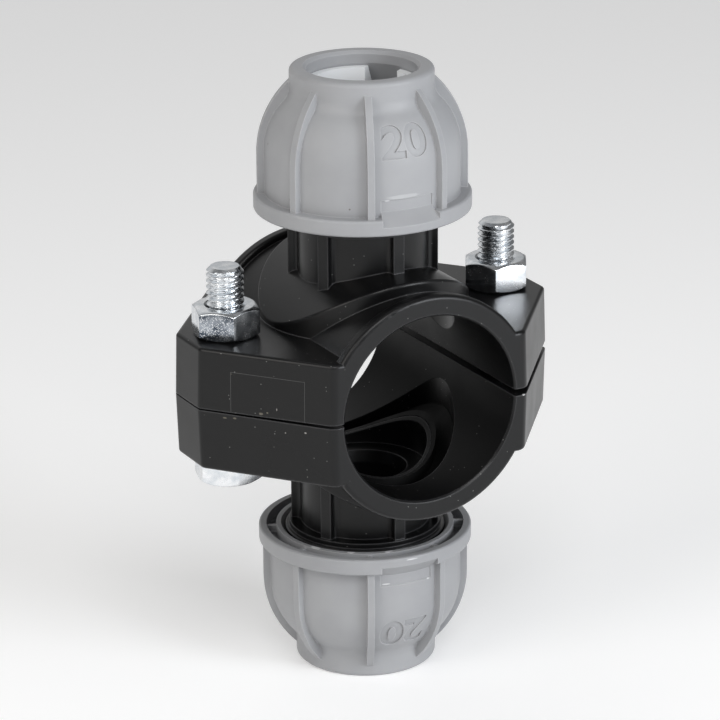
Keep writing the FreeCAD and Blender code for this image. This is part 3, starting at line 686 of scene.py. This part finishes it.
def grey_moulding():
    """Satin grey polypropylene, a little cloudy, with edges lightened partly by wear and partly as
    a painted highlight, pale scuffs and dark specks.
    """
    material, tree, shader, position = new_material("grey_moulding")
    grain = use_group(tree, "grain", position, {"Grain scale": 2200.0, "Cloud scale": 70.0})
    edge = use_group(tree, "edge", position, {"Reach": 0.0004, "Gain": 3.0})
    dust = use_group(tree, "specks", position, {"Scale": 500.0, "Size": 0.10, "Share": 0.03})
    cloud = ramp(tree, grain.outputs["Cloud"], 0.35, 0.65)
    base = mix_colour(tree, cloud, (0.297, 0.301, 0.313), (0.331, 0.335, 0.345))
    # Edges lightened in colour: partly wear, partly a painted highlight.
    worn_and_lit = mix_colour(tree, edge.outputs["Mask"], base, (0.45, 0.45, 0.46))
    dirty = mix_colour(tree, dust.outputs["Mask"], worn_and_lit, (0.15, 0.14, 0.13))
    tree.links.new(marked(tree, position, dirty, GREY_MARKS), shader.inputs["Base Color"])
    cloudy_roughness(tree, shader, grain, 0.44, 0.54)
    grain_bump(tree, shader, grain, 0.10, soft_edge=0.00016)
    return material


def white_moulding():
    """White acetal: smooth and slightly waxy."""
    material, tree, shader, position = new_material("white_moulding")
    grain = use_group(tree, "grain", position, {"Grain scale": 1500.0, "Cloud scale": 120.0})
    base = mix_colour(tree, grain.outputs["Cloud"], (0.78, 0.80, 0.82), (0.86, 0.87, 0.88))
    tree.links.new(base, shader.inputs["Base Color"])
    cloudy_roughness(tree, shader, grain, 0.30, 0.38)
    return material


def black_rubber():
    """Dull black rubber."""
    material, tree, shader, position = new_material("black_rubber")
    grain = use_group(tree, "grain", position, {"Grain scale": 3000.0, "Cloud scale": 150.0})
    base = mix_colour(tree, grain.outputs["Cloud"], (0.002, 0.002, 0.002), (0.004, 0.004, 0.004))
    tree.links.new(base, shader.inputs["Base Color"])
    shader.inputs["Specular IOR Level"].default_value = 0.15
    cloudy_roughness(tree, shader, grain, 0.50, 0.66)
    grain_bump(tree, shader, grain, 0.2, distance=0.00004)
    return material


# The left nut's dark face, a painted dark reflection: place and size in millimetres, and its normal
DARK_FACE_MIDDLE = (-37.1, -5.0, 16.5)
DARK_FACE_SIZE = (6.5, 6.5, 5.5)
DARK_FACE_NORMAL = (-0.690, -0.724, 0)


def bright_zinc():
    """Bright zinc plate on steel: bluish white metal with a cloudy gloss and fine crystals, and
    one face of the left nut painted dark with bright crystals on it, a painted dark reflection."""
    material, tree, shader, position = new_material("bright_zinc")
    grain = use_group(tree, "grain", position, {"Grain scale": 1800.0, "Cloud scale": 420.0})
    cells = use_group(tree, "specks", position, {"Scale": 4600.0, "Size": 0.5, "Share": 0.34})
    cloud = ramp(tree, grain.outputs["Cloud"], 0.38, 0.62)
    base = mix_colour(tree, cloud, (0.63, 0.665, 0.70), (0.85, 0.865, 0.88))
    patch = use_group(tree, "scuff", position, {
        "Centre": [v * MM for v in DARK_FACE_MIDDLE], "Size": [v * MM for v in DARK_FACE_SIZE],
        "Ragged": 0.3, "Noise scale": 1500.0})
    facing = use_group(tree, "facing", position, {"Direction": DARK_FACE_NORMAL})
    face = add_node(tree, "ShaderNodeMath", {0: patch.outputs["Mask"], 1: facing.outputs["Mask"]},
                    operation="MULTIPLY")
    # Painted dark reflection on that one face, dotted with bright crystals.
    dark_reflection = mix_colour(tree, cloud, (0.07, 0.085, 0.11), (0.34, 0.37, 0.41))
    dark = mix_colour(tree, cells.outputs["Mask"], dark_reflection, (0.72, 0.74, 0.77))
    tree.links.new(mix_colour(tree, face.outputs[0], base, dark), shader.inputs["Base Color"])
    shader.inputs["Metallic"].default_value = 1.0
    cloudy_roughness(tree, shader, grain, 0.16, 0.30)
    grain_bump(tree, shader, grain, 0.15)
    return material


MATERIALS = {
    "black_moulding": black_moulding(),
    "grey_moulding": grey_moulding(),
    "white_moulding": white_moulding(),
    "black_rubber": black_rubber(),
    "bright_zinc": bright_zinc(),
}


def finish_piece(piece, body, slot, *replaced):
    """Give a finished piece the material of its slot, attach it to its body, and hide the nodes it
    stands for.
    """
    piece.data.materials.clear()
    piece.data.materials.append(MATERIALS[slot])
    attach(piece, body)
    if replaced:
        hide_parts(*replaced)


def dress_cad_nodes():
    """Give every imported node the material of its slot."""
    for part in frame["record"]["subparts"]:
        node = frame["nodes"][part["node"]]
        node.data.materials.clear()
        node.data.materials.append(MATERIALS[part["material_slot"]])


# Studio

def soft_box(name, place, size, power, colour=(1, 1, 1)):
    """A rectangular area light, aimed at the part."""
    data = bpy.data.lights.new(name, "AREA")
    data.shape = "RECTANGLE"
    data.size, data.size_y = size
    data.energy = power
    data.color = colour
    item = new_object(name, data)
    aim = (-Vector(place)).to_track_quat("-Z", "Y").to_matrix().to_4x4()
    item.matrix_world = Matrix.Translation(place) @ aim


TABLE_REACH = 3.0
TABLE_PALE = (0.82, 0.82, 0.82, 1)
TABLE_GLOW = 0.27
WHITE = (1, 1, 1, 1)
# The way in which the surround is brightest
BACK_GLOW = (0.05, 0.84, 0.54)


def studio():
    """A pale table that glows a little, a surround that brightens behind, soft boxes at both
    sides and one above the camera."""
    level = cad_box[0][2]
    corners = [(x * TABLE_REACH, y * TABLE_REACH, level)
               for x, y in ((-1, -1), (1, -1), (1, 1), (-1, 1))]
    mesh = bpy.data.meshes.new("table")
    mesh.from_pydata(corners, [], [(0, 1, 2, 3)])
    table = new_object("table", mesh)
    material, tree, shader, position = new_material("table")
    for socket, value in (("Base Color", TABLE_PALE), ("Roughness", 0.6),
                          ("Emission Color", WHITE), ("Emission Strength", TABLE_GLOW)):
        shader.inputs[socket].default_value = value
    mesh.materials.append(material)
    world = bpy.data.worlds.new("studio")
    world.use_nodes = True
    tree = world.node_tree
    surround = tree.nodes["Background"]
    surround.inputs["Color"].default_value = WHITE
    ahead = add_node(tree, "ShaderNodeTexCoord").outputs["Generated"]
    toward = add_node(tree, "ShaderNodeVectorMath", {0: ahead, 1: BACK_GLOW},
                      operation="DOT_PRODUCT")
    tree.links.new(ramp(tree, toward.outputs["Value"], 0.72, 0.98, 0.20, 0.75),
                   surround.inputs["Strength"])
    bpy.context.scene.world = world
    bpy.context.scene.view_settings.view_transform = "Standard"
    soft_box("left_box", (-0.80, -0.20, 0.45), (0.5, 0.6), 3.0, (1.0, 0.97, 0.93))
    soft_box("right_box", (0.46, -0.86, 0.33), (0.45, 0.5), 6.8, (0.93, 0.96, 1.0))
    soft_box("front_box", (-0.22, -0.56, 0.66), (0.4, 0.4), 2.6)


def camera():
    """The camera that took the photograph: orbit, distance, aim, roll and focal length."""
    turn_sin, turn_cos = math.sin(VIEW_TURN), math.cos(VIEW_TURN)
    rise_sin, rise_cos = math.sin(VIEW_RISE), math.cos(VIEW_RISE)
    back = Vector((turn_sin * rise_cos, -turn_cos * rise_cos, rise_sin))
    right = Vector((turn_cos, turn_sin, 0))
    up = back.cross(right)
    place = right * AIM_ASIDE + Vector((0, 0, AIM_UP)) + back * VIEW_DISTANCE
    rolled = Matrix((right, up, back)).transposed().to_4x4() @ Matrix.Rotation(VIEW_ROLL, 4, "Z")
    data = bpy.data.cameras.new("camera")
    data.sensor_width = SENSOR_MM
    data.lens = FOCAL_PIXELS / FRAME_PIXELS * SENSOR_MM
    item = new_object("camera", data)
    item.matrix_world = Matrix.Translation(place) @ rolled
    bpy.context.scene.camera = item


# The whole scene

dress_cad_nodes()
for side in ("upper", "lower"):
    upper = side == "upper"
    nut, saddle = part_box(f"{side}_compression_nut"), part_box(f"{side}_saddle")
    numerals = numerals_cutter(f"{side}_numerals", nut, upper)
    finish_piece(carved(f"{side}_compression_nut", f"{side}_nut_marked", numerals),
                 f"{side}_cap", "grey_moulding", f"{side}_compression_nut")
    neck_end = saddle[1].z if upper else -saddle[0].z
    groove = neck_thread_cutter(f"{side}_thread", neck_end, upper)
    finish_piece(carved(f"{side}_saddle", f"{side}_saddle_threaded", groove),
                 f"{side}_half", "black_moulding", f"{side}_saddle")
for side, turned in (("left", LEFT_HEX_TURN), ("right", RIGHT_HEX_TURN)):
    finish_piece(bolt_piece(f"{side}_bolt", turned), "lower_half", "bright_zinc", f"{side}_bolt")
    finish_piece(hex_nut_piece(f"{side}_hex_nut", turned), f"{side}_fastening", "bright_zinc",
                 f"{side}_hex_nut")
studio()
camera()
